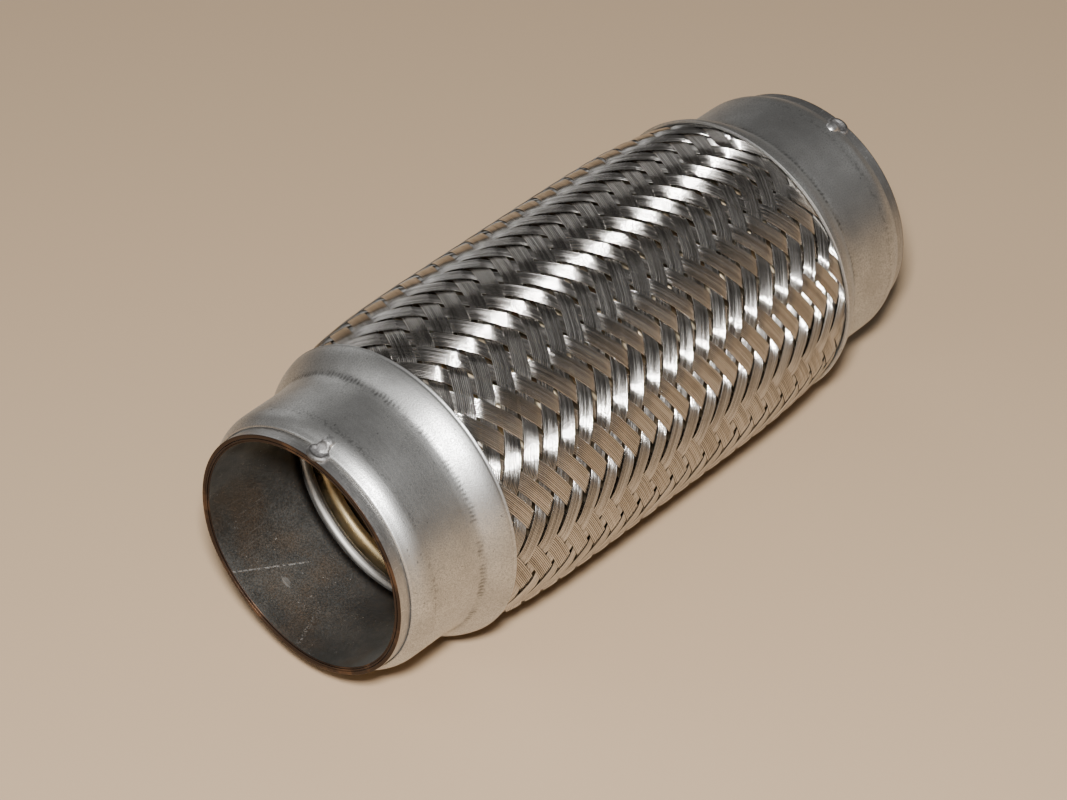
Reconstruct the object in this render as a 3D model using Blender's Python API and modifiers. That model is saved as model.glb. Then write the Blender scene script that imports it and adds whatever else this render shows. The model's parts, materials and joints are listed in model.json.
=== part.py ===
"""Braided metal bellows expansion joint, lying along X with its centre at the origin.

The joint is a springy corrugated bellows inside a woven wire braid. At each end a rolled
cap holds, from the inside out, a thin inner ring, the bellows' straight cuff, a short
sleeve and the braid's end, and one tack weld joins sleeve and cap. The bellows and the
braid bend and stretch, so between the two ends both are cut into rings. Each pair of
rings is one link of a chain, and each link turns or slides on the one before it.

Outlines are lists of (x, radius) points in millimetres, turned about the X axis.
Everything is built for the inlet end, at -X, and mirrored for the outlet end.
"""

import math

import bmesh
import bpy
from mathutils import Matrix, Vector

# ---------------------------------------------------------------- driving dimensions, mm
MM = 0.001
LENGTH = 160.0
HALF = LENGTH / 2
BORE_R = 25.0
GAP = 0.28                  # clearance between pieces that touch on the real object

INNER_RING_WALL = 0.3
CUFF_WALL = 0.24            # the bellows' two plies together
SLEEVE_WALL = 0.56
BRAID_WALL = 0.5            # the braid where the cap pinches it
CAP_WALL = 1.1

INNER_RING_OUT_R = BORE_R + INNER_RING_WALL
CUFF_IN_R = INNER_RING_OUT_R + GAP
CUFF_OUT_R = CUFF_IN_R + CUFF_WALL
SLEEVE_IN_R = CUFF_OUT_R + GAP
SLEEVE_OUT_R = SLEEVE_IN_R + SLEEVE_WALL
PINCH_IN_R = SLEEVE_OUT_R + GAP
PINCH_OUT_R = PINCH_IN_R + BRAID_WALL
NECK_R = PINCH_OUT_R + GAP + CAP_WALL

INNER_RING_LENGTH = 26.6
SLEEVE_LENGTH = 23.0

# The cap. A setback is a distance in from the mouth.
LIP_SETBACK = 3.0
BAND_SETBACK = 7.8          # from here the sloping band beside the lip is a level neck
PINCH_SETBACK = 8.8         # inside, from here the cap pinches the braid
NECK_SETBACK = 18.6         # from here the neck rises into the shoulder
RIM_SETBACK = 27.0
LIP_R = 27.6
BAND_R = NECK_R - 0.1
SHOULDER = [(21.0, 30.1), (23.5, 31.7)]   # (setback, radius) between neck and rim
RIM_R = 32.6
RIM_WALL = 0.7

FLEX_LENGTH = 96.0          # between the first and the last joint
LINKS = 11                  # moving links between the two ends
PITCH = FLEX_LENGTH / LINKS
FIRST_JOINT_X = -FLEX_LENGTH / 2

CREST_R = 30.3              # bellows, outside of a crest
ROOT_R = 25.5               # bellows, inside of a root
BELLOWS_WALL = 0.6
ROOT_GAP = 2.4              # open gap between two bellows rings
ROOT_LIP = 0.7
CREST_WIDTH = 3.0
LAST_CREST = 2.9            # from a cuff's crest to its end
CUFF_RISE = 3.2             # from the straight cuff to the middle of its crest

# The braid's rings telescope: wide ones run over the narrow ones on each side of them.
BRAID_RING_WALL = 0.6
WIDE_RING_R = 33.3
NARROW_RING_R = 32.3
BRAID_OVERRUN = 1.3         # how far a ring reaches past a joint, into the next one
BRAID_SWELL = 2.4           # past the rim, the braid's end widens to a narrow ring over this length

WELD_LENGTH = 5.4
WELD_WIDTH = 4.6
WELD_HEIGHT = 3.2
WELD_ANGLE = {"inlet": 10.0, "outlet": 20.0}   # degrees from straight up, towards -Y

FACETS = 24                 # flats round every turned piece, with one facing straight down
HALF_FACET = math.pi / FACETS

# ---------------------------------------------------------------- joints
# What happens at each station, from the inlet to the outlet. The two halves mirror each other.
HALF_STATIONS = ["slide", "pitch", "yaw"] * 2
STATIONS = HALF_STATIONS + HALF_STATIONS[::-1]

# ---------------------------------------------------------------- colours
COLOURS = {
    "end_cap": ((0.52, 0.50, 0.47, 1.0), 0.42),
    "end_sleeve": ((0.36, 0.35, 0.33, 1.0), 0.45),
    "inner_ring": ((0.17, 0.17, 0.16, 1.0), 0.50),
    "tack_weld": ((0.30, 0.29, 0.28, 1.0), 0.50),
    "bellows": ((0.38, 0.35, 0.31, 1.0), 0.30),
    "braid": ((0.45, 0.43, 0.40, 1.0), 0.28),
}


def clear_scene():
    """Remove the objects that the scene starts with."""
    for item in list(bpy.data.objects):
        bpy.data.objects.remove(item, do_unlink=True)


def new_collection(name):
    """Add a collection to the scene."""
    collection = bpy.data.collections.new(name)
    bpy.context.scene.collection.children.link(collection)
    return collection


def new_material(node_name, kind):
    """Make a node's own metal."""
    colour, roughness = COLOURS[kind]
    material = bpy.data.materials.new(node_name)
    material.use_nodes = True
    shader = material.node_tree.nodes["Principled BSDF"]
    shader.inputs["Base Color"].default_value = colour
    shader.inputs["Metallic"].default_value = 1.0
    shader.inputs["Roughness"].default_value = roughness
    return material


# ---------------------------------------------------------------- outlines
def smooth_curve(points, steps):
    """Points on a smooth curve through the given ones, with steps spans between each pair."""
    padded = [points[0]] + list(points) + [points[-1]]
    curve = [points[0]]
    for before, start, end, after in zip(padded, padded[1:], padded[2:], padded[3:]):
        for step in range(1, steps + 1):
            t = step / steps
            weights = (
                -0.5 * t + t * t - 0.5 * t ** 3,
                1 - 2.5 * t * t + 1.5 * t ** 3,
                0.5 * t + 2 * t * t - 1.5 * t ** 3,
                -0.5 * t * t + 0.5 * t ** 3,
            )
            curve.append(tuple(
                sum(weight * point[axis] for weight, point in zip(weights, (before, start, end, after)))
                for axis in (0, 1)
            ))
    return curve


def from_mouth(points):
    """Turn (setback, radius) points into (x, radius) points."""
    return [(-HALF + setback, radius) for setback, radius in points]


def under_shoulder(depth):
    """The shoulder's points, moved in by a depth at right angles to its slope of 33 degrees."""
    return [(setback + 0.55 * depth, radius - 0.84 * depth) for setback, radius in SHOULDER]


def cap_outline():
    """Stepped cap: lip, band, neck, shoulder and rim outside, and the same shape one wall lower inside."""
    outside = smooth_curve(
        [
            (LIP_SETBACK, LIP_R),
            (BAND_SETBACK, BAND_R),
            ((BAND_SETBACK + NECK_SETBACK) / 2, NECK_R),
            (NECK_SETBACK, NECK_R + 0.1),
            *SHOULDER,
            (RIM_SETBACK, RIM_R),
        ],
        2,
    )
    inside = [
        (RIM_SETBACK, RIM_R - RIM_WALL),
        *reversed(under_shoulder(CAP_WALL)),
        (NECK_SETBACK + 0.35 * CAP_WALL, NECK_R - CAP_WALL),
        (PINCH_SETBACK, NECK_R - CAP_WALL),
        (PINCH_SETBACK, SLEEVE_OUT_R + GAP),
        (LIP_SETBACK, SLEEVE_OUT_R + GAP),
    ]
    return from_mouth(outside + inside)


def tube_outline(length, inner_r, outer_r):
    """Plain tube that starts at the mouth."""
    return [
        (-HALF, outer_r),
        (-HALF + length, outer_r),
        (-HALF + length, inner_r),
        (-HALF, inner_r),
    ]


def cuff_outline():
    """Straight tail of the bellows, and its first convolution up to the first joint."""
    end_x = FIRST_JOINT_X - ROOT_GAP / 2
    crest_x = end_x - LAST_CREST
    half_crest = CREST_WIDTH / 2
    start_x = crest_x - CUFF_RISE
    return [
        (-HALF, CUFF_OUT_R),
        (start_x, CUFF_OUT_R),
        (crest_x - half_crest, CREST_R),
        (crest_x + half_crest, CREST_R),
        (end_x, ROOT_R + BELLOWS_WALL),
        (end_x, ROOT_R),
        (end_x - ROOT_LIP, ROOT_R),
        (crest_x + half_crest - BELLOWS_WALL, CREST_R - BELLOWS_WALL),
        (crest_x - half_crest + BELLOWS_WALL, CREST_R - BELLOWS_WALL),
        (start_x + 0.5, CUFF_IN_R),
        (-HALF, CUFF_IN_R),
    ]


def braid_end_outline():
    """End of the braid: pinched under the cap's neck, flaring out and leaving under the rim.

    Past the rim it swells to a narrow ring, which the first link's wide ring runs over.
    """
    outer_depth = CAP_WALL + GAP
    inner_depth = outer_depth + BRAID_WALL
    end_setback = HALF + FIRST_JOINT_X + BRAID_OVERRUN
    rim_r = RIM_R - RIM_WALL - 1.1 * GAP
    return from_mouth([
        (PINCH_SETBACK + GAP, PINCH_OUT_R),
        (NECK_SETBACK + 0.35 * outer_depth, PINCH_OUT_R),
        *under_shoulder(outer_depth),
        (RIM_SETBACK, rim_r),
        (RIM_SETBACK + BRAID_SWELL, NARROW_RING_R),
        (end_setback, NARROW_RING_R),
        (end_setback, NARROW_RING_R - BRAID_RING_WALL),
        (RIM_SETBACK + BRAID_SWELL, NARROW_RING_R - BRAID_RING_WALL),
        (RIM_SETBACK, rim_r - BRAID_RING_WALL),
        *reversed(under_shoulder(inner_depth)),
        (NECK_SETBACK + 0.35 * inner_depth, PINCH_IN_R),
        (PINCH_SETBACK + GAP, PINCH_IN_R),
    ])


def bellows_ring_outline(centre_x):
    """One convolution: up from a root, over the crest and down to the next root."""
    half_root = (PITCH - ROOT_GAP) / 2
    half_crest = CREST_WIDTH / 2
    return [
        (centre_x - half_root, ROOT_R + BELLOWS_WALL),
        (centre_x - half_crest, CREST_R),
        (centre_x + half_crest, CREST_R),
        (centre_x + half_root, ROOT_R + BELLOWS_WALL),
        (centre_x + half_root, ROOT_R),
        (centre_x + half_root - ROOT_LIP, ROOT_R),
        (centre_x + half_crest - BELLOWS_WALL, CREST_R - BELLOWS_WALL),
        (centre_x - half_crest + BELLOWS_WALL, CREST_R - BELLOWS_WALL),
        (centre_x - half_root + ROOT_LIP, ROOT_R),
        (centre_x - half_root, ROOT_R),
    ]


def braid_ring_outline(centre_x, outer_r):
    """A short length of the braid tube, a little longer than its link."""
    half = PITCH / 2 + BRAID_OVERRUN
    return [
        (centre_x - half, outer_r),
        (centre_x + half, outer_r),
        (centre_x + half, outer_r - BRAID_RING_WALL),
        (centre_x - half, outer_r - BRAID_RING_WALL),
    ]


# ---------------------------------------------------------------- turned pieces
def turned(name, outline, kind, parent, collection):
    """Turn a closed outline about the X axis, as a child of its body's empty.

    The outline is drawn with its radius along the object's X and its length down the
    object's -Z, half a facet off X, and the object is turned so that this -Z is world +X.
    """
    origin_x = parent.matrix_world.translation.x
    mesh = bpy.data.meshes.new(name)
    shape = bmesh.new()
    corners = [
        shape.verts.new((
            radius * MM * math.cos(HALF_FACET),
            radius * MM * math.sin(HALF_FACET),
            origin_x - x * MM,
        ))
        for x, radius in outline
    ]
    for start, end in zip(corners, corners[1:] + corners[:1]):
        shape.edges.new((start, end))
    shape.to_mesh(mesh)
    shape.free()

    piece = bpy.data.objects.new(name, mesh)
    collection.objects.link(piece)
    piece.parent = parent
    piece.rotation_euler = (0.0, -math.pi / 2, 0.0)
    screw = piece.modifiers.new("Turn", "SCREW")
    screw.axis = "Z"
    screw.steps = FACETS
    screw.render_steps = FACETS
    screw.use_merge_vertices = True
    screw.merge_threshold = 0.000001
    if kind:
        mesh.materials.append(new_material(name, kind))
    return piece


def mirrored(outline):
    """The same outline at the outlet end, kept running the same way round."""
    return [(-x, radius) for x, radius in reversed(outline)]


def end_outline(outline, side):
    """An end piece's outline for its own end."""
    return outline if side == "inlet" else mirrored(outline)


# ---------------------------------------------------------------- tack welds
def weld_cutter(side, parent, cutters):
    """Everything under the weld: sleeve, lip and band, one gap larger."""
    outline = from_mouth([
        (-WELD_LENGTH, SLEEVE_OUT_R + GAP),
        (LIP_SETBACK - GAP, SLEEVE_OUT_R + GAP),
        (LIP_SETBACK - GAP, LIP_R + GAP),
        (BAND_SETBACK, BAND_R + GAP),
        (2 * BAND_SETBACK, BAND_R + GAP),
        (2 * BAND_SETBACK, BORE_R / 2),
        (-WELD_LENGTH, BORE_R / 2),
    ])
    cutter = turned(side + "_weld_cutter", end_outline(outline, side), None, parent, cutters)
    cutter.hide_render = True
    cutter.display_type = "WIRE"
    return cutter


def tack_weld(side, parent, collection, cutters):
    """A small dome of weld metal across the step between sleeve and lip."""
    name = side + "_tack_weld"
    sign = -1.0 if side == "inlet" else 1.0
    mesh = bpy.data.meshes.new(name)
    shape = bmesh.new()
    bmesh.ops.create_uvsphere(shape, u_segments=12, v_segments=8, radius=0.5)
    size = Matrix.Diagonal((WELD_LENGTH * MM, WELD_WIDTH * MM, WELD_HEIGHT * MM, 1.0))
    bmesh.ops.transform(shape, matrix=size, verts=shape.verts)
    shape.to_mesh(mesh)
    shape.free()

    piece = bpy.data.objects.new(name, mesh)
    collection.objects.link(piece)
    piece.parent = parent
    angle = math.radians(WELD_ANGLE[side])
    world_x = sign * (HALF - WELD_LENGTH / 2 - GAP) * MM
    height = (LIP_R - 0.2) * MM
    piece.location = (
        world_x - parent.matrix_world.translation.x,
        -height * math.sin(angle),
        height * math.cos(angle),
    )
    piece.rotation_euler = (angle, 0.0, 0.0)
    cut = piece.modifiers.new("Seat", "BOOLEAN")
    cut.operation = "DIFFERENCE"
    cut.solver = "EXACT"
    cut.object = weld_cutter(side, parent, cutters)
    mesh.materials.append(new_material(name, "tack_weld"))
    return piece


# ---------------------------------------------------------------- bodies
def body_empty(name, x, parent, collection):
    """An empty at a joint station, under the body before it."""
    empty = bpy.data.objects.new(name, None)
    empty.empty_display_size = 0.02
    collection.objects.link(empty)
    start_x = 0.0
    if parent:
        empty.parent = parent
        start_x = parent.matrix_world.translation.x
    empty.location = (x * MM - start_x, 0.0, 0.0)
    bpy.context.view_layer.update()
    return empty


def end_pieces(side, parent, collection, cutters):
    """The six pieces of one end."""
    outlines = {
        "end_cap": (cap_outline(), "end_cap"),
        "end_sleeve": (tube_outline(SLEEVE_LENGTH, SLEEVE_IN_R, SLEEVE_OUT_R), "end_sleeve"),
        "inner_ring": (tube_outline(INNER_RING_LENGTH, BORE_R, INNER_RING_OUT_R), "inner_ring"),
        "bellows_cuff": (cuff_outline(), "bellows"),
        "braid_end": (braid_end_outline(), "braid"),
    }
    for piece_name, (outline, kind) in outlines.items():
        turned(side + "_" + piece_name, end_outline(outline, side), kind, parent, collection)
    tack_weld(side, parent, collection, cutters)


def build():
    """Make the chain of bodies from the inlet end to the outlet end."""
    clear_scene()
    collection = new_collection("braided_bellows_expansion_joint")
    cutters = new_collection("cutters")

    body = body_empty("inlet_body", 0.0, None, collection)
    end_pieces("inlet", body, collection, cutters)
    for index, motion in enumerate(STATIONS):
        station_x = FIRST_JOINT_X + PITCH * index
        number = f"{index + 1:02d}"
        if index == LINKS:
            body = body_empty(f"outlet_body_{motion}", station_x, body, collection)
            end_pieces("outlet", body, collection, cutters)
            continue
        body = body_empty(f"link_{number}_{motion}", station_x, body, collection)
        centre_x = station_x + PITCH / 2
        turned("bellows_ring_" + number, bellows_ring_outline(centre_x), "bellows", body, collection)
        outer_r = NARROW_RING_R if index % 2 else WIDE_RING_R
        turned("braid_ring_" + number, braid_ring_outline(centre_x, outer_r), "braid", body, collection)


build()
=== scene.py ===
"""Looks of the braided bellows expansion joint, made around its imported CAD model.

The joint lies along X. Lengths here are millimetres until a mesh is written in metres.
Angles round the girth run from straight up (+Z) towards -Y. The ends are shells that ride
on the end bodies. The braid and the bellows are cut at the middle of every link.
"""

import json
import math

import bmesh
import bpy
import numpy as np
from mathutils import Matrix, Vector

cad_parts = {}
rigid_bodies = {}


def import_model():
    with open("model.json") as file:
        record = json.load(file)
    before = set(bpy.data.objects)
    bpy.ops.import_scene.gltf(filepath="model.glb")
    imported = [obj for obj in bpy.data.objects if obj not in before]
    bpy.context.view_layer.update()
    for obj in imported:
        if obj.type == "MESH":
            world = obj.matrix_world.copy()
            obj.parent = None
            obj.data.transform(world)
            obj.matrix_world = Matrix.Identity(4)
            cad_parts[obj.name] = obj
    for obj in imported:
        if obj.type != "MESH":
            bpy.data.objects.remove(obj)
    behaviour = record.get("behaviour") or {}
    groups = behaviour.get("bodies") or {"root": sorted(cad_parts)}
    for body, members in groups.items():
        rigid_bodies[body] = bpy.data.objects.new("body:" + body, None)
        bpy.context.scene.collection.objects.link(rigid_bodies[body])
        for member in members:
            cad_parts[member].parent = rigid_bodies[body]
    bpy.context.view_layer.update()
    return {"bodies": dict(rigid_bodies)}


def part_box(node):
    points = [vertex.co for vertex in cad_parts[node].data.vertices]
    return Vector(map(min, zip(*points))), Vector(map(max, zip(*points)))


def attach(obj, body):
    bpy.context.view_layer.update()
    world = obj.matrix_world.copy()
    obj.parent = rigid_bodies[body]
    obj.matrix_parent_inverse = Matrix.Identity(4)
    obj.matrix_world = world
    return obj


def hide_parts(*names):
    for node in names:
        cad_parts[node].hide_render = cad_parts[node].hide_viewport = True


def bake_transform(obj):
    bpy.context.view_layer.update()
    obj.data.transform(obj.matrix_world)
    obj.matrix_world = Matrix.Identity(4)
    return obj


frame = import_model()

# ---------------------------------------------------------------- sizes read from the frame
MM = 0.001
CAD_FACETS = 24
SIDES = {"inlet": -1.0, "outlet": 1.0}


def x_range(node):
    """Where a CAD node starts and ends along X."""
    low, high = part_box(node)
    return low.x / MM, high.x / MM


def outer_radius(node):
    """Radius of a turned CAD node, whose widest ring has flats facing along Y and Z."""
    low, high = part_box(node)
    return (high.z - low.z) / 2 / MM / math.cos(math.pi / CAD_FACETS)


MOUTH_X = x_range("outlet_inner_ring")[1]
RING_END_X = x_range("outlet_inner_ring")[0]
SLEEVE_END_X = x_range("outlet_end_sleeve")[0]
LIP_X = x_range("outlet_end_cap")[1]
RIM_X = x_range("outlet_end_cap")[0]
RIM_R = outer_radius("outlet_end_cap")
SLEEVE_R = outer_radius("outlet_end_sleeve")
RING_R = outer_radius("outlet_inner_ring")
CREST_R = outer_radius("bellows_ring_01")

LINKS = sum(1 for body in frame["bodies"] if body.startswith("link_"))
FIRST_LINK_X = sum(x_range("bellows_ring_01")) / 2
PITCH = -2 * FIRST_LINK_X / (LINKS - 1)
MIDDLES = [FIRST_LINK_X + PITCH * (n - 1) for n in range(LINKS + 2)]   # middle of each body's span

# ---------------------------------------------------------------- sizes of the fine shapes
TURNED_SEGMENTS = 256
SHARP_ANGLE = math.radians(35.0)

SLEEVE_SET_BACK = 0.05      # how far in from the CAD's mouth the sleeve starts
RING_SET_BACK = 0.15
RING_WALL = 0.3
RING_CUT = 1.2              # how much sooner the ring ends, to show the groove behind it
CUFF_IN_R = RING_R + 0.08
CUFF_WALL = 0.32
CUFF_GAP = 0.14             # between the cuff and the sleeve
CUFF_STRAIGHT_STOP = 0.8    # how far before the first root the cuff's straight part stops
EDGE_EASE = 0.10            # rounding of the tubes' edges
TUBE_SPACING = 1.5          # between the rings of points along a tube

CAP_WALL = 1.1
CAP_GAP = 0.05              # between the cap's lip and the sleeve
CAP_STEPS = 4               # rings of points between two given points of the cap's outside
RIM_WALL = 0.8

KNOCK_ANGLE = math.radians(215.0)   # where the inlet's mouth is pushed in
KNOCK_SPREAD = math.radians(42.0)   # to each side of it
KNOCK_REACH = 15.0                  # how far in from the mouth it fades out
KNOCK_SHARE = 0.034                 # of the radius

CONVOLUTION = PITCH / 2
BELLOWS_WALL = 0.4
BELLOWS_ROOT_R = 25.22      # middle of the sheet at a root
BELLOWS_CREST_R = CREST_R - BELLOWS_WALL / 2
BELLOWS_ROOT_BEND = 1.2     # radius of the sheet's bend at a root
BELLOWS_CREST_BEND = CONVOLUTION / 2 - BELLOWS_ROOT_BEND
BELLOWS_STEPS = 5           # rings of points in a quarter of a bend
BELLOWS_SEGMENTS = 96

STRANDS = 24                # in each of the two directions
WIRES = 10                  # in a strand
WIRE_R = 0.172
WIRE_SIDES = 5
BRAID_TURN = 0.0507         # radians round the girth for a millimetre along X
BRAID_PHASE = math.radians(8.2)     # of each direction's first strand, at the middle of the joint
BRAID_STEPS = 18            # rings of points on a wire within a span
BRAID_END_STEPS = 8         # more of them in the first and last spans, which are longer
BRAID_RISE = 0.30           # of a strand above and below the middle of the weave
BRAID_SNAP = 3.0            # how sharply a strand dives from over to under
BRAID_EDGE_R = 31.2         # middle of the weave, under the rims
BRAID_BULGE = 2.3           # how much further out it is halfway
BRAID_SHOULDER = 5.3        # power by which the bulge falls off towards the caps
BRAID_REACH = RIM_X + 2.6   # how far it goes, under the caps
BRAID_CROWN = 0.05          # how far a strand's middle stands out past its edges
WIRE_SPACING = 2 * WIRE_R * 1.01

WELD_ANGLES = {"inlet": 10.0, "outlet": 20.0}   # degrees from the top towards -Y
WELD_BLOBS = [
    # distance from the mouth, radius, length, width, height
    (2.05, SLEEVE_R + 0.1, 4.4, 5.2, 2.1),
    (3.6, SLEEVE_R + 0.9, 3.0, 3.0, 1.8),
    (4.7, RIM_R - 4.50, 3.1, 2.8, 2.0),
]
WELD_VOXEL = 0.12
WELD_SMOOTHINGS = 14
CRATER_DEPTH = 0.62
CRATER_RIM = 0.10           # height of the bead round the crater
CRATER_HALF_LENGTH = 1.35
CRATER_HALF_WIDTH = 1.65

# ---------------------------------------------------------------- places of the marks, and of painted shade and a painted highlight
SHOULDER_MARKS_IN = 20.75   # depths in from the mouth
BAND_SMUDGES_IN = 7.6
MARKS_REACH = 1.1           # to each side of those depths
ROLLER_MARKS = 196.0        # round a cap
# painted shade: depths over which the bore's colour darkens towards the ring's end
BORE_SHADE_IN = (22.8, 25.0)
BELLOWS_TAN_IN = (28.8, 30.6)
# painted highlight: depths where the weld's crown over the band is brightened
WELD_PAINTED_HIGHLIGHT_IN = (3.7, 4.4)
# painted shade: depths over which the weld's front is darkened
WELD_PAINTED_SHADE_IN = (0.6, 1.3)


# ---------------------------------------------------------------- meshes
def add_mesh(name, points, faces):
    """Make a mesh object from points in millimetres and faces of four points each."""
    mesh = bpy.data.meshes.new(name)
    points = np.asarray(points, float).reshape(-1, 3)
    mesh.vertices.add(len(points))
    mesh.vertices.foreach_set("co", (points * MM).astype(np.float32).ravel())
    mesh.loops.add(faces.size)
    mesh.loops.foreach_set("vertex_index", faces.ravel().astype(np.int32))
    mesh.polygons.add(len(faces))
    mesh.polygons.foreach_set("loop_start", np.arange(0, faces.size, 4, dtype=np.int32))
    mesh.update(calc_edges=True)
    mesh.polygons.foreach_set("use_smooth", np.ones(len(faces), bool))
    store(mesh, "rest_mm", "FLOAT_VECTOR", points)
    item = bpy.data.objects.new(name, mesh)
    bpy.context.scene.collection.objects.link(item)
    return item


def store(mesh, name, kind, values):
    """Keep values on the mesh's points, for its material."""
    attribute = mesh.attributes.new(name, kind, "POINT")
    field = "vector" if kind == "FLOAT_VECTOR" else "value"
    attribute.data.foreach_set(field, np.asarray(values, np.float32).ravel())


def round_about_x(x, radius, angle):
    """Points at given places along the axis, distances from it and angles round it."""
    x, radius, angle = np.broadcast_arrays(x, radius, angle)
    return np.stack([x, -radius * np.sin(angle), radius * np.cos(angle)], -1)


def turn(name, outline, segments=TURNED_SEGMENTS, shape=None):
    """Turn a closed outline of (x, radius) points about the X axis."""
    outline = np.asarray(outline, float)
    nxt = np.roll(outline, -1, 0)
    if np.sum(outline[:, 0] * nxt[:, 1] - nxt[:, 0] * outline[:, 1]) < 0:
        outline = outline[::-1]
    angle = np.arange(segments) * 2 * math.pi / segments
    points = round_about_x(outline[:, :1], outline[:, 1:], angle[None, :])
    if shape:
        points = shape(points)
    ring = np.arange(len(outline))[:, None]
    column = np.arange(segments)[None, :]
    ring_2, column_2 = (ring + 1) % len(outline), (column + 1) % segments
    quads = np.stack(np.broadcast_arrays(
        ring * segments + column, ring_2 * segments + column,
        ring_2 * segments + column_2, ring * segments + column_2), -1).reshape(-1, 4)
    item = add_mesh(name, points, quads)
    item.data.set_sharp_from_angle(angle=SHARP_ANGLE)
    return item


# ---------------------------------------------------------------- outlines
def smooth_line(points, steps):
    """A smooth curve through the points, with steps spans between each two of them."""
    points = np.asarray(points, float)
    padded = np.vstack([2 * points[0] - points[1], points, 2 * points[-1] - points[-2]])
    line = [points[:1]]
    for a, b, c, d in zip(padded, padded[1:], padded[2:], padded[3:]):
        t = (np.arange(1, steps + 1) / steps)[:, None]
        bent = 2 * a - 5 * b + 4 * c - d + t * (3 * (b - c) + d - a)
        line.append(b + 0.5 * t * (c - a + t * bent))
    return np.vstack(line)


def offset_line(line, distance):
    """The same line, moved to its right-hand side."""
    along = np.gradient(line, axis=0)
    along /= np.linalg.norm(along, axis=1)[:, None]
    return line + distance * np.stack([along[:, 1], -along[:, 0]], -1)


def eased(corners, radius, steps=4):
    """A closed outline with each corner rounded off."""
    corners = np.asarray(corners, float)
    line = []
    for before, corner, after in zip(np.roll(corners, 1, 0), corners, np.roll(corners, -1, 0)):
        arms = [before - corner, after - corner]
        lengths = [np.linalg.norm(arm) for arm in arms]
        cut = min(radius, 0.45 * min(lengths))
        start, end = (corner + arm / length * cut for arm, length in zip(arms, lengths))
        for step in range(steps + 1):
            t = step / steps
            line.append((1 - t) ** 2 * start + 2 * t * (1 - t) * corner + t * t * end)
    return np.array(line)


def from_mouth(side, points):
    """Turn (distance in from the mouth, radius) points into (x, radius) points of one end."""
    points = np.asarray(points, float)
    return np.stack([SIDES[side] * (MOUTH_X - points[:, 0]), points[:, 1]], -1)


def dense(line, spacing):
    """Add points along the straight stretches of a closed outline."""
    made = []
    for start, end in zip(line, np.roll(line, -1, 0)):
        count = max(1, int(np.linalg.norm(end - start) / spacing))
        made += [start + (end - start) * step / count for step in range(count)]
    return np.array(made)


# ---------------------------------------------------------------- materials
class Metal:
    """A metal's node tree, with short ways to add and join its nodes."""

    def __init__(self, name):
        self.material = bpy.data.materials.new(name)
        self.material.use_nodes = True
        self.tree = self.material.node_tree
        self.shader = self.tree.nodes["Principled BSDF"]
        self.shader.inputs["Metallic"].default_value = 1.0
        self.place = self.attribute("rest_mm", "Vector")

    def add(self, kind, output=0, inputs=(), **settings):
        """Add a node. Inputs are numbers or other nodes' outputs, in order or by name."""
        node = self.tree.nodes.new("ShaderNode" + kind)
        for key, value in settings.items():
            setattr(node, key, value)
        pairs = inputs.items() if isinstance(inputs, dict) else enumerate(inputs)
        for key, value in pairs:
            if isinstance(value, bpy.types.NodeSocket):
                self.tree.links.new(value, node.inputs[key])
            elif value is not None:
                node.inputs[key].default_value = value
        return node.outputs[output]

    def attribute(self, name, output):
        """What was kept on the mesh's points under a name."""
        return self.add("Attribute", output, attribute_name=name)

    def math(self, operation, *inputs):
        """One sum on numbers or other nodes' outputs."""
        return self.add("Math", inputs=inputs, operation=operation)

    def stretch(self, scale):
        """The place on the piece, scaled by three numbers."""
        return self.add("VectorMath", inputs=[self.place, scale], operation="MULTIPLY")

    def noise(self, scale, detail=2.0, roughness=0.5, vector=None):
        """Smooth noise, with its scale in lumps a millimetre."""
        return self.add("TexNoise", "Fac", {
            "Vector": vector or self.place, "Scale": scale, "Detail": detail, "Roughness": roughness})

    def ramp(self, value, low, high, to_low=0.0, to_high=1.0):
        """Carry a value from one range to another, held at its ends and eased between."""
        return self.add("MapRange", inputs=[value, low, high, to_low, to_high],
                        interpolation_type="SMOOTHSTEP")

    def mix(self, share, first, second):
        """Mix two colours, by a Mix node's own numbers for its colour sockets."""
        return self.add("Mix", 2, {0: share, 6: first, 7: second}, data_type="RGBA")

    def bump(self, height, distance, normal=None):
        """Dents from a height, with its depth in millimetres."""
        return self.add("Bump", inputs={
            "Strength": 1.0, "Distance": distance * MM, "Height": height, "Normal": normal})

    def finish(self, colour, roughness, normal=None):
        """Join the results to the shader."""
        self.tree.links.new(colour, self.shader.inputs["Base Color"])
        self.tree.links.new(roughness, self.shader.inputs["Roughness"])
        if normal:
            self.tree.links.new(normal, self.shader.inputs["Normal"])
        return self.material

    def axis(self, letter):
        """One coordinate of the place on the piece."""
        return self.add("SeparateXYZ", letter, [self.place])

    def depth(self):
        """Distance in from the nearer mouth."""
        return self.math("SUBTRACT", MOUTH_X, self.math("ABSOLUTE", self.axis("X")))

    def around(self):
        """Angle round the girth from straight up towards -Y, in radians."""
        down = self.math("MULTIPLY", self.axis("Y"), -1.0)
        return self.math("ARCTAN2", down, self.axis("Z"))

    def band(self, value, centre, width):
        """1 at the centre of a band, falling to 0 at its edges."""
        away = self.math("ABSOLUTE", self.math("SUBTRACT", value, centre))
        return self.ramp(away, 0.0, width, 1.0, 0.0)


def rgb(red, green, blue):
    """An opaque colour."""
    return (red, green, blue, 1.0)


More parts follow.
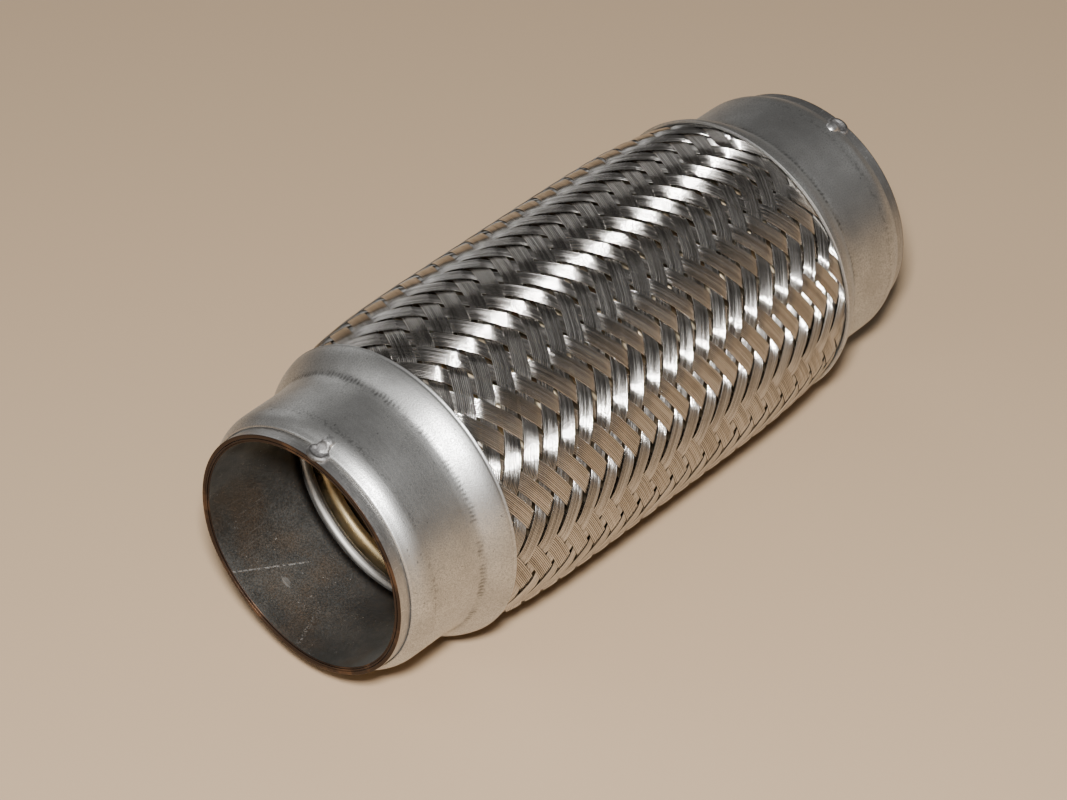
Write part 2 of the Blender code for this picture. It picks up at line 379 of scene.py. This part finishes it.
def cap_metal():
    """Rolled aluminised steel: satin and mottled, with dark roller marks where it changes slope."""
    metal = Metal("cap_aluminised_steel")
    depth = metal.depth()
    grain = metal.noise(3.2, 3.0, 0.7)
    mottle = metal.noise(0.16, 3.0, 0.55)
    rings = metal.noise(1.0, 2.0, vector=metal.stretch((2.2, 0.10, 0.10)))
    wobble = metal.math("MULTIPLY", metal.noise(0.5, 1.0), 7.0)
    dashes = metal.math("SINE", metal.math("MULTIPLY_ADD", metal.around(), ROLLER_MARKS, wobble))
    dashes = metal.ramp(dashes, -0.9, 0.7, 0.25, 1.0)
    ragged = metal.math("MULTIPLY_ADD", metal.noise(1.1, 2.0), 2.0, metal.math("SUBTRACT", depth, 1.0))
    broken = metal.ramp(metal.noise(0.20, 3.0), 0.34, 0.60, 0.15, 1.0)
    shoulder = metal.math("MULTIPLY", dashes, metal.band(ragged, SHOULDER_MARKS_IN, MARKS_REACH))
    smudges = metal.math("MULTIPLY", metal.ramp(metal.noise(1.5, 2.0), 0.46, 0.62),
                         metal.band(ragged, BAND_SMUDGES_IN, MARKS_REACH))
    marks = metal.math("MULTIPLY", metal.math("MULTIPLY_ADD", smudges, 0.6, shoulder), broken)
    scratch = metal.ramp(metal.noise(1.0, 2.0, vector=metal.stretch((0.5, 5.0, 1.4))), 0.69, 0.73)
    specks = metal.ramp(metal.noise(1.1, 1.0, 0.4), 0.74, 0.78)

    colour = metal.mix(metal.ramp(mottle, 0.3, 0.7), rgb(0.53, 0.525, 0.51), rgb(0.66, 0.655, 0.635))
    colour = metal.mix(metal.ramp(grain, 0.38, 0.66, 0.0, 0.75), colour, rgb(0.30, 0.295, 0.28))
    colour = metal.mix(metal.math("MULTIPLY", marks, 0.80), colour, rgb(0.12, 0.117, 0.112))
    colour = metal.mix(metal.math("MULTIPLY", scratch, 0.35), colour, rgb(0.78, 0.77, 0.75))
    colour = metal.mix(metal.math("MULTIPLY", specks, 0.6), colour, rgb(0.10, 0.10, 0.10))
    roughness = metal.ramp(grain, 0.3, 0.75, 0.34, 0.50)
    roughness = metal.math("ADD", roughness, metal.math("MULTIPLY", rings, 0.05))
    normal = metal.bump(grain, 0.034)
    normal = metal.bump(rings, 0.008, normal)
    return metal.finish(colour, roughness, normal)


def edge_rust(metal, depth, reach, colour):
    """Brown the sheared edge at the mouth, with brighter rust in patches."""
    patches = metal.ramp(metal.noise(0.13, 4.0, 0.6), 0.50, 0.66)
    rust = metal.mix(patches, rgb(0.055, 0.038, 0.030), rgb(0.15, 0.092, 0.060))
    return metal.mix(metal.ramp(depth, reach * 0.6, reach, 1.0, 0.0), colour, rust)


def sleeve_metal():
    """The dull collar at the mouth, scratched, with a brown tint at its sheared edge."""
    metal = Metal("sleeve_scratched_steel")
    depth = metal.depth()
    grain = metal.noise(3.2, 3.0, 0.65)
    lines = metal.noise(1.0, 3.0, vector=metal.stretch((4.0, 0.4, 0.4)))
    nicks = metal.ramp(metal.noise(1.0, 2.0, vector=metal.stretch((0.7, 2.6, 2.6))), 0.62, 0.70)
    colour = metal.mix(metal.ramp(lines, 0.35, 0.65), rgb(0.40, 0.39, 0.375), rgb(0.50, 0.49, 0.475))
    colour = metal.mix(metal.ramp(grain, 0.38, 0.66, 0.0, 0.35), colour, rgb(0.27, 0.26, 0.25))
    colour = metal.mix(metal.math("MULTIPLY", nicks, 0.5), colour, rgb(0.78, 0.77, 0.75))
    colour = edge_rust(metal, depth, 0.22, colour)
    roughness = metal.ramp(grain, 0.3, 0.75, 0.36, 0.50)
    normal = metal.bump(grain, 0.016)
    normal = metal.bump(lines, 0.006, normal)
    return metal.finish(colour, roughness, normal)


def long_scratch(metal, angle, twist, width, end, breaks):
    """A broken scratch that winds in along the bore from the inlet's mouth to a depth.

    angle, twist for each millimetre and half width are in radians. breaks is how much is left out.
    """
    winding = metal.math("MULTIPLY_ADD", metal.depth(), -twist, metal.around())
    line = metal.band(winding, angle, width)
    line = metal.math("MULTIPLY", line, metal.ramp(metal.noise(2.2, 3.0), breaks, breaks + 0.16))
    line = metal.math("MULTIPLY", line, metal.ramp(metal.depth(), end - 3.0, end, 1.0, 0.0))
    return metal.math("MULTIPLY", line, metal.math("LESS_THAN", metal.axis("X"), 0.0))


def ring_metal():
    """Dull grey bore, with clustered specks and a few scratches, brown at the mouth, and painted shade
    deep inside towards the ring's end.
    """
    metal = Metal("bore_dark_steel")
    depth = metal.depth()
    cloud = metal.noise(0.10, 4.0, 0.6)
    grain = metal.noise(2.8, 3.0, 0.65)
    clusters = metal.ramp(metal.noise(0.16, 2.0), 0.50, 0.60)
    specks = metal.math("MULTIPLY", metal.ramp(metal.noise(2.1, 2.0, 0.5), 0.68, 0.74), clusters)
    scratch = metal.ramp(metal.noise(1.0, 3.0, vector=metal.stretch((0.08, 1.3, 2.2))), 0.64, 0.68)
    scratch = metal.math("MULTIPLY", scratch, metal.ramp(metal.noise(0.07, 2.0), 0.52, 0.64))
    long_scratches = metal.math(
        "ADD",
        long_scratch(metal, angle=-2.207, twist=-0.0169, width=0.012, end=18.0, breaks=0.40),
        long_scratch(metal, angle=-3.036, twist=0.0148, width=0.030, end=13.0, breaks=0.52))
    colour = metal.mix(metal.ramp(cloud, 0.3, 0.7), rgb(0.16, 0.158, 0.148), rgb(0.26, 0.252, 0.232))
    stain = metal.ramp(metal.noise(0.07, 3.0), 0.50, 0.72, 0.0, 0.6)
    colour = metal.mix(stain, colour, rgb(0.25, 0.19, 0.135))
    colour = metal.mix(metal.math("MULTIPLY", scratch, 0.15), colour, rgb(0.55, 0.53, 0.50))
    colour = metal.mix(metal.math("MULTIPLY", specks, 0.8), colour, rgb(0.85, 0.84, 0.80))
    colour = metal.mix(long_scratches, colour, rgb(0.80, 0.79, 0.76))
    # painted shade: the bore's colour fades to near black deep inside, where shadow falls
    colour = metal.mix(metal.ramp(depth, *BORE_SHADE_IN), colour, rgb(0.035, 0.030, 0.026))
    colour = edge_rust(metal, depth, 0.35, colour)
    roughness = metal.ramp(grain, 0.3, 0.75, 0.40, 0.56)
    normal = metal.bump(grain, 0.014)
    return metal.finish(colour, roughness, normal)


def bellows_metal():
    """Thin sheet, tanned by heat on its roots, with painted shade darkening it deeper in each fold."""
    metal = Metal("bellows_thin_sheet")
    squares = [metal.math("POWER", metal.axis(letter), 2.0) for letter in "YZ"]
    radius = metal.math("SQRT", metal.math("ADD", *squares))
    lines = metal.noise(1.0, 3.0, vector=metal.stretch((5.0, 0.2, 0.2)))
    cloud = metal.noise(0.10, 3.0)
    tan = metal.mix(metal.ramp(cloud, 0.3, 0.7), rgb(0.76, 0.56, 0.30), rgb(0.86, 0.70, 0.42))
    steel = metal.mix(metal.ramp(lines, 0.35, 0.65), rgb(0.28, 0.265, 0.24), rgb(0.38, 0.36, 0.33))
    colour = metal.mix(metal.ramp(metal.depth(), *BELLOWS_TAN_IN), steel, tan)
    # painted shade: darker colour further out in each fold, where shadow falls between the
    # convolutions
    fold = metal.ramp(radius, BELLOWS_ROOT_R + 0.9, BELLOWS_CREST_R - 1.4)
    colour = metal.mix(metal.math("MULTIPLY", fold, 0.75), colour, rgb(0.12, 0.105, 0.09))
    colour = edge_rust(metal, metal.depth(), 0.40, colour)
    roughness = metal.ramp(lines, 0.3, 0.7, 0.46, 0.58)
    return metal.finish(colour, roughness, metal.bump(lines, 0.006))


def weld_metal():
    """Dark weld metal with a rough skin, darker round its crater, with painted shade on its front and
    a painted highlight where it crowns the band.
    """
    metal = Metal("weld_metal")
    grain = metal.noise(2.0, 3.0, 0.6)
    # painted highlight: brighter colour where the weld crowns the band, plus a real smoother skin
    # there
    crown = metal.ramp(metal.depth(), *WELD_PAINTED_HIGHLIGHT_IN)
    crater_edge = metal.math("MULTIPLY", metal.attribute("crater_edge", "Fac"), 0.7)
    # painted shade: darker colour on the weld's front, which faces the light
    front = metal.ramp(metal.depth(), *WELD_PAINTED_SHADE_IN, 0.8, 0.0)
    # dark colour, for the ring round the crater and for the painted shade on the front
    scale = rgb(0.10, 0.095, 0.09)
    colour = metal.mix(metal.ramp(grain, 0.35, 0.65), rgb(0.26, 0.25, 0.245), rgb(0.38, 0.37, 0.365))
    colour = metal.mix(crater_edge, colour, scale)
    colour = metal.mix(front, colour, scale)
    colour = metal.mix(crown, colour, rgb(0.68, 0.67, 0.66))
    roughness = metal.ramp(grain, 0.3, 0.75, 0.54, 0.66)
    roughness = metal.math("SUBTRACT", roughness, metal.math("MULTIPLY", crown, 0.20))
    return metal.finish(colour, roughness, metal.bump(grain, 0.09))


def wire_metal():
    """Drawn stainless wire. Each wire and each strand has its own tone."""
    metal = Metal("braid_stainless_wire")
    wire = metal.attribute("wire_tone", "Fac")
    strand = metal.attribute("strand_tone", "Fac")
    dirt = metal.noise(0.30, 3.0)
    colour = metal.mix(wire, rgb(0.42, 0.40, 0.375), rgb(0.72, 0.695, 0.66))
    colour = metal.mix(metal.math("MULTIPLY", strand, 0.35), colour, rgb(0.46, 0.42, 0.37))
    colour = metal.mix(metal.ramp(dirt, 0.5, 0.8, 0.0, 0.35), colour, rgb(0.30, 0.26, 0.22))
    roughness = metal.math("MULTIPLY_ADD", wire, 0.06, 0.11)
    return metal.finish(colour, roughness)


# ---------------------------------------------------------------- the two ends
def cap_profile():
    """Outside of a cap as (distance from the mouth, radius): lip, band, neck, shoulder, rim."""
    lip = MOUTH_X - LIP_X
    rim = MOUTH_X - RIM_X
    return smooth_line([
        (lip, RIM_R - 5.25),
        (lip + 0.8, RIM_R - 4.87),
        (lip + 1.6, RIM_R - 4.45),
        (lip + 2.4, RIM_R - 4.13),
        (lip + 3.3, RIM_R - 3.91),
        (lip + 4.4, RIM_R - 3.81),
        (lip + 8.0, RIM_R - 3.78),
        (lip + 13.0, RIM_R - 3.78),
        (rim - 8.4, RIM_R - 3.74),
        (rim - 7.2, RIM_R - 3.60),
        (rim - 6.4, RIM_R - 3.40),
        (rim - 5.6, RIM_R - 2.98),
        (rim - 4.7, RIM_R - 2.30),
        (rim - 3.8, RIM_R - 1.65),
        (rim - 2.9, RIM_R - 1.10),
        (rim - 2.0, RIM_R - 0.65),
        (rim - 1.0, RIM_R - 0.27),
        (rim - 0.5, RIM_R - 0.20),
        (rim - 0.15, RIM_R - 0.04),
        (rim, RIM_R),
    ], CAP_STEPS)


def cap_outline(side):
    """The cap's whole section: its outside, a turned-in rim, and the same shape one wall inside."""
    outside = cap_profile()
    front, back = outside[0, 0], outside[-1, 0]
    inside = offset_line(outside, CAP_WALL)[::-1]
    inside[:, 1] = np.maximum(inside[:, 1], SLEEVE_R + CAP_GAP)
    inside = inside[(inside[:, 0] > front + 0.3) & (inside[:, 0] < back - 1.2)]
    rim = [
        (back + 0.16, RIM_R - 0.26),
        (back + 0.16, RIM_R - RIM_WALL + 0.15),
        (back - 0.1, RIM_R - RIM_WALL),
    ]
    lip = [
        (front + 0.05, SLEEVE_R + CAP_GAP),
        (front - 0.17, RIM_R - 5.76),
        (front - 0.24, RIM_R - 5.62),
        (front - 0.20, RIM_R - 5.44),
    ]
    return from_mouth(side, np.vstack([outside, rim, inside, lip]))


def tube(side, start, end, inner, outer):
    """Section of a plain tube with eased edges, given by its distances from the mouth."""
    corners = [(start, outer), (end, outer), (end, inner), (start, inner)]
    return from_mouth(side, dense(eased(corners, EDGE_EASE), TUBE_SPACING))


def knock_mouth(points):
    """Push in one side of the inlet's mouth a little, fading into the tube."""
    x, y, z = points[..., 0], points[..., 1], points[..., 2]
    angle = np.arctan2(-y, z)
    away = np.abs((angle - KNOCK_ANGLE + math.pi) % (2 * math.pi) - math.pi)
    flat = np.clip(1 - (away / KNOCK_SPREAD) ** 2, 0, 1) ** 2
    fade = np.clip(1 - (x + MOUTH_X) / KNOCK_REACH, 0, 1) ** 2
    push = 1 - KNOCK_SHARE * flat * fade * (x < 0)
    return np.stack([x, y * push, z * push], -1)


def finish_piece(item, material, nodes):
    """Give a piece its material and hide the CAD nodes it stands for."""
    item.data.materials.append(material)
    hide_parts(*nodes)


def fold_line(start, folds):
    """Middle of the bellows' sheet: U-shaped folds as (x, radius), from the centre of one root."""
    bend = np.linspace(0, math.pi / 2, BELLOWS_STEPS + 1)
    root = np.stack([BELLOWS_ROOT_BEND * np.sin(bend),
                     BELLOWS_ROOT_R + BELLOWS_ROOT_BEND * (1 - np.cos(bend))], -1)
    crest = np.stack([CONVOLUTION / 2 - BELLOWS_CREST_BEND * np.cos(bend),
                      BELLOWS_CREST_R - BELLOWS_CREST_BEND * (1 - np.sin(bend))], -1)
    up = np.vstack([root, crest])
    down = up[-2:0:-1] * (-1, 1) + (CONVOLUTION, 0)
    folded = [np.vstack([up, down]) + (start + CONVOLUTION * n, 0) for n in range(folds)]
    return np.vstack(folded + [[(start + CONVOLUTION * folds, BELLOWS_ROOT_R)]])


def cuff_outline(side):
    """Straight tail of the bellows with its first fold, which the inner ring half hides."""
    start = MOUTH_X + MIDDLES[0] - CONVOLUTION
    fold = fold_line(start, 1)
    middle = CUFF_IN_R + CUFF_WALL / 2
    straight = [(0.0, middle), (start - CUFF_STRAIGHT_STOP, middle)]
    line = np.vstack([straight, fold[BELLOWS_STEPS // 2:]])
    outside, inside = offset_line(line, -CUFF_WALL / 2), offset_line(line, CUFF_WALL / 2)
    outside[:2, 1] = CUFF_IN_R + CUFF_WALL
    inside[:2, 1] = CUFF_IN_R
    outside[-1, 0] = inside[-1, 0] = start + CONVOLUTION
    return from_mouth(side, np.vstack([outside, inside[::-1]]))


def add_end(side, metals):
    """The shells of one end, all riding on that end's body."""
    sleeve_in_r = CUFF_IN_R + CUFF_WALL + CUFF_GAP
    sleeve = tube(side, SLEEVE_SET_BACK, MOUTH_X - SLEEVE_END_X, sleeve_in_r, SLEEVE_R)
    ring = tube(side, RING_SET_BACK, MOUTH_X - RING_END_X - RING_CUT, RING_R - RING_WALL, RING_R)
    made = [
        ("cap_shell", cap_outline(side), "cap", "end_cap_steel", "end_cap"),
        ("sleeve_tube", sleeve, "sleeve", "sleeve_steel", "end_sleeve"),
        ("bore_ring", ring, "ring", "inner_ring_steel", "inner_ring"),
        ("cuff_tail", cuff_outline(side), "bellows", "bellows_steel", "bellows_cuff"),
    ]
    for name, outline, metal, slot, node in made:
        item = turn(f"{side}_{name}", outline, shape=knock_mouth)
        finish_piece(item, metals[metal], [f"{side}_{node}"])
        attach(item, side + "_end")


# ---------------------------------------------------------------- bellows
def add_bellows_span(index, metal):
    """Two convolutions between the middles of two neighbouring bodies."""
    start, end = MIDDLES[index], MIDDLES[index + 1]
    line = fold_line(start, 2)
    outside, inside = offset_line(line, -BELLOWS_WALL / 2), offset_line(line, BELLOWS_WALL / 2)
    outline = np.vstack([outside, inside[::-1]])
    outline[[0, -1], 0] = start
    outline[[len(line) - 1, len(line)], 0] = end
    item = turn(f"bellows_span_{index + 1:02d}", outline, BELLOWS_SEGMENTS)
    add_span(item, metal, "bellows", index)


def add_span(item, metal, kind, index):
    """Give a span its material, hide the CAD nodes it stands for and bake its place into its points.
    """
    links = [n for n in (index, index + 1) if 1 <= n <= LINKS]
    nodes = [f"{kind}_ring_{n:02d}" for n in links]
    if kind == "braid" and len(links) == 1:
        nodes.append(("inlet" if index == 0 else "outlet") + "_braid_end")
    finish_piece(item, metal, nodes)
    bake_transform(item)


# ---------------------------------------------------------------- braid
def weave_radius(x):
    """Middle of the weave, from the caps to its bulge halfway."""
    share = np.abs(x) / RIM_X
    return BRAID_EDGE_R + BRAID_BULGE * (1 - share ** BRAID_SHOULDER)


def over_under(place):
    """+1 over two strands and -1 under the next two, for a place counted in strands."""
    wave = np.cos(math.pi * (place - 0.5) / 2)
    return np.tanh(BRAID_SNAP * wave) / math.tanh(BRAID_SNAP)


def wander(random, shape, lengths, x):
    """Smooth random waves along X, one for each strand or wire, about 1 in size."""
    total = np.zeros(shape + (len(x),))
    for length in lengths:
        phase = random.uniform(0, 2 * math.pi, shape + (1,))
        own_length = length * random.uniform(0.8, 1.25, shape + (1,))
        total += np.sin(2 * math.pi * x / own_length + phase)
    return total / math.sqrt(len(lengths))


def wire_family(direction, x, seed):
    """Centre lines of one direction's wires: angle, radius and tones, by strand, wire and ring."""
    random = np.random.default_rng(seed)
    step = 2 * math.pi / STRANDS
    strand = np.arange(STRANDS)
    middle = weave_radius(x)
    slant = math.atan(BRAID_TURN * (BRAID_EDGE_R + BRAID_BULGE))
    places = (np.arange(WIRES) - (WIRES - 1) / 2) * WIRE_SPACING
    # Strands widen and narrow and wander sideways, and their wires stray a little.
    across = (places[None, :, None] * (1 + 0.04 * wander(random, (STRANDS, 1), (31.0, 17.0), x))
              + 0.12 * wander(random, (STRANDS, 1), (90.0, 40.0), x)
              + 0.014 * wander(random, (STRANDS, WIRES), (23.0, 11.0), x))
    centre = strand[:, None, None] * step + BRAID_PHASE + direction * BRAID_TURN * x
    angle = centre + across / math.cos(slant) / middle
    crossing = (angle - BRAID_PHASE + direction * BRAID_TURN * x) / step
    lift = direction * over_under(strand[:, None, None] + crossing)
    lift_jitter = 0.016 * wander(random, (STRANDS, WIRES), (19.0, 9.0), x)
    crown = BRAID_CROWN * (1 - (2 * places / (places[-1] - places[0])) ** 2)[None, :, None]
    radius = middle + BRAID_RISE * lift + crown + lift_jitter
    wire_tone = np.broadcast_to(random.uniform(0, 1, (STRANDS, WIRES, 1)), angle.shape)
    strand_tone = np.broadcast_to(random.uniform(0, 1, (STRANDS, 1, 1)), angle.shape)
    return angle, radius, slant * direction, wire_tone, strand_tone


def add_braid_span(index, metal):
    """The wires between the middles of two neighbouring bodies, open where the next span goes on."""
    start = MIDDLES[index] if index else -BRAID_REACH
    end = MIDDLES[index + 1] if index < LINKS else BRAID_REACH
    steps = BRAID_STEPS if 0 < index < LINKS else BRAID_STEPS + BRAID_END_STEPS
    x = np.linspace(start, end, steps + 1)
    around = np.arange(WIRE_SIDES) * 2 * math.pi / WIRE_SIDES
    points, wire_tones, strand_tones = [], [], []
    for direction, seed in ((1, 11), (-1, 23)):
        angle, radius, slant, wire_tone, strand_tone = wire_family(direction, x, seed)
        sideways = WIRE_R * np.sin(around)
        ring_x = x[:, None] - math.sin(slant) * sideways
        ring_angle = angle[..., None] + math.cos(slant) * sideways / radius[..., None]
        ring_radius = radius[..., None] + WIRE_R * np.cos(around)
        points.append(round_about_x(ring_x, ring_radius, ring_angle))
        wire_tones.append(np.repeat(wire_tone[..., None], WIRE_SIDES, -1))
        strand_tones.append(np.repeat(strand_tone[..., None], WIRE_SIDES, -1))
    points = np.concatenate(points).reshape(-1, steps + 1, WIRE_SIDES, 3)
    wires = len(points)
    number = np.arange(points.size // 3).reshape(wires, steps + 1, WIRE_SIDES)
    turned = np.roll(number, -1, 2)
    quads = np.stack([number[:, :-1], number[:, 1:], turned[:, 1:], turned[:, :-1]], -1).reshape(-1, 4)
    item = add_mesh(f"braid_span_{index + 1:02d}", points, quads[:, ::-1])
    store(item.data, "wire_tone", "FLOAT", np.concatenate(wire_tones))
    store(item.data, "strand_tone", "FLOAT", np.concatenate(strand_tones))
    add_span(item, metal, "braid", index)


# ---------------------------------------------------------------- tack welds
def fused_blobs(side):
    """The weld's blobs fused into one skin: its points in millimetres, and its faces."""
    shape = bmesh.new()
    for depth, radius, length, width, height in WELD_BLOBS:
        made = bmesh.ops.create_icosphere(shape, subdivisions=4, radius=0.5)
        size = Matrix.Diagonal((length, width, height, 1.0))
        place = Matrix.Translation((SIDES[side] * (MOUTH_X - depth), 0.0, radius))
        bmesh.ops.transform(shape, matrix=Matrix.Scale(MM, 4) @ place @ size, verts=made["verts"])
    mesh = bpy.data.meshes.new(side + "_weld_blobs")
    shape.to_mesh(mesh)
    shape.free()
    rough = bpy.data.objects.new(side + "_weld_blobs", mesh)
    bpy.context.scene.collection.objects.link(rough)
    remesh = rough.modifiers.new("Fuse", "REMESH")
    remesh.mode = "VOXEL"
    remesh.voxel_size = WELD_VOXEL * MM
    soft = rough.modifiers.new("Soften", "SMOOTH")
    soft.iterations = WELD_SMOOTHINGS
    bpy.context.view_layer.update()
    made = rough.evaluated_get(bpy.context.evaluated_depsgraph_get())
    fused = bpy.data.meshes.new_from_object(made)
    bpy.data.objects.remove(rough)

    points = np.empty(len(fused.vertices) * 3, np.float32)
    fused.vertices.foreach_get("co", points)
    faces = np.array([tuple(face.vertices) for face in fused.polygons], np.int32)
    bpy.data.meshes.remove(fused)
    return points.reshape(-1, 3).astype(float) / MM, faces


def bell(value, centre, width):
    """1 at the centre, falling off smoothly to both sides."""
    return np.exp(-((value - centre) / width) ** 2)


def add_weld(side, metal):
    """A crater of weld metal on the collar with a bead that runs over the lip onto the band."""
    points, faces = fused_blobs(side)
    crater_x = SIDES[side] * (MOUTH_X - WELD_BLOBS[0][0])
    away = np.hypot((points[:, 0] - crater_x) / CRATER_HALF_LENGTH, points[:, 1] / CRATER_HALF_WIDTH)
    top = points[:, 2] > SLEEVE_R + 0.2
    points[:, 2] -= top * CRATER_DEPTH * np.exp(-away ** 4)
    points[:, 2] += top * CRATER_RIM * bell(away, 1.2, 0.3)
    angle = math.radians(WELD_ANGLES[side])
    y, z = points[:, 1].copy(), points[:, 2].copy()
    points[:, 1] = y * math.cos(angle) - z * math.sin(angle)
    points[:, 2] = y * math.sin(angle) + z * math.cos(angle)
    item = add_mesh(side + "_weld_bead", points, faces)
    store(item.data, "crater_edge", "FLOAT", bell(away, 1.15, 0.2))
    finish_piece(item, metal, [side + "_tack_weld"])
    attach(item, side + "_end")


# ---------------------------------------------------------------- camera, floor and lights
VIEW_BACK = Vector((-0.5995, -0.5301, 0.5997))     # from the target towards the camera
VIEW_TARGET = Vector((-10.72, 0.0, -1.58)) * MM
VIEW_DISTANCE = 809.8 * MM
VIEW_ROLL = math.radians(-0.68)
VIEW_LENS = 133.0
FLOOR_GAP = 0.1             # below the lowest wire
FLOOR_HALF_WIDTH = 3000.0 * MM


def add_camera():
    """The camera, over the inlet end."""
    data = bpy.data.cameras.new("camera")
    data.lens = VIEW_LENS
    data.sensor_width = 36.0
    camera = bpy.data.objects.new("camera", data)
    bpy.context.scene.collection.objects.link(camera)
    back = VIEW_BACK.normalized()
    right = Vector((0, 0, 1)).cross(VIEW_BACK).normalized()
    up = back.cross(right)
    turned = Matrix.Rotation(VIEW_ROLL, 3, back)
    axes = Matrix((turned @ right, turned @ up, back)).transposed()
    place = Matrix.Translation(VIEW_TARGET + back * VIEW_DISTANCE)
    camera.matrix_world = place @ axes.to_4x4()
    bpy.context.scene.camera = camera


def add_floor():
    """A plain pale floor under the bulge of the braid."""
    data = bpy.data.meshes.new("floor")
    shape = bmesh.new()
    bmesh.ops.create_grid(shape, x_segments=1, y_segments=1, size=FLOOR_HALF_WIDTH)
    shape.to_mesh(data)
    shape.free()
    floor = bpy.data.objects.new("floor", data)
    bpy.context.scene.collection.objects.link(floor)
    lowest = BRAID_EDGE_R + BRAID_BULGE + BRAID_RISE + WIRE_R + FLOOR_GAP
    floor.location.z = -lowest * MM
    material = bpy.data.materials.new("floor_paper")
    material.use_nodes = True
    shader = material.node_tree.nodes["Principled BSDF"]
    shader.inputs["Base Color"].default_value = rgb(0.43, 0.305, 0.19)
    shader.inputs["Roughness"].default_value = 0.85
    data.materials.append(material)


def add_light(name, direction, distance, size, power):
    """A square soft light that faces the joint, in metres and watts."""
    data = bpy.data.lights.new(name, "AREA")
    data.size = size
    data.energy = power
    lamp = bpy.data.objects.new(name, data)
    bpy.context.scene.collection.objects.link(lamp)
    lamp.location = Vector(direction).normalized() * distance
    lamp.rotation_euler = Vector(direction).to_track_quat("Z", "Y").to_euler()


def add_lights():
    """A key light just above the camera, and weak broad ones for the other sides."""
    add_light("key", (-0.561, -0.468, 0.676), 0.85, 0.08, 18.0)
    add_light("left_fill", (-0.75, 0.62, 0.75), 1.1, 0.50, 1.2)
    add_light("back_fill", (0.35, 0.90, 0.45), 1.1, 0.50, 0.7)
    add_light("right_fill", (0.90, -0.24, 0.38), 1.2, 0.60, 0.4)
    world = bpy.data.worlds.new("studio")
    bpy.context.scene.world = world
    world.use_nodes = True
    background = world.node_tree.nodes["Background"]
    background.inputs["Color"].default_value = rgb(0.80, 0.78, 0.76)
    background.inputs["Strength"].default_value = 0.11


# ---------------------------------------------------------------- build
def build():
    """Everything in the picture, from the stage to the last wire."""
    add_camera()
    add_floor()
    add_lights()
    metals = {
        "cap": cap_metal(),
        "sleeve": sleeve_metal(),
        "ring": ring_metal(),
        "bellows": bellows_metal(),
        "weld": weld_metal(),
        "wire": wire_metal(),
    }
    for side in SIDES:
        add_end(side, metals)
        add_weld(side, metals["weld"])
    for index in range(LINKS + 1):
        add_bellows_span(index, metals["bellows"])
        add_braid_span(index, metals["wire"])


build()

bpy.context.view_layer.update()
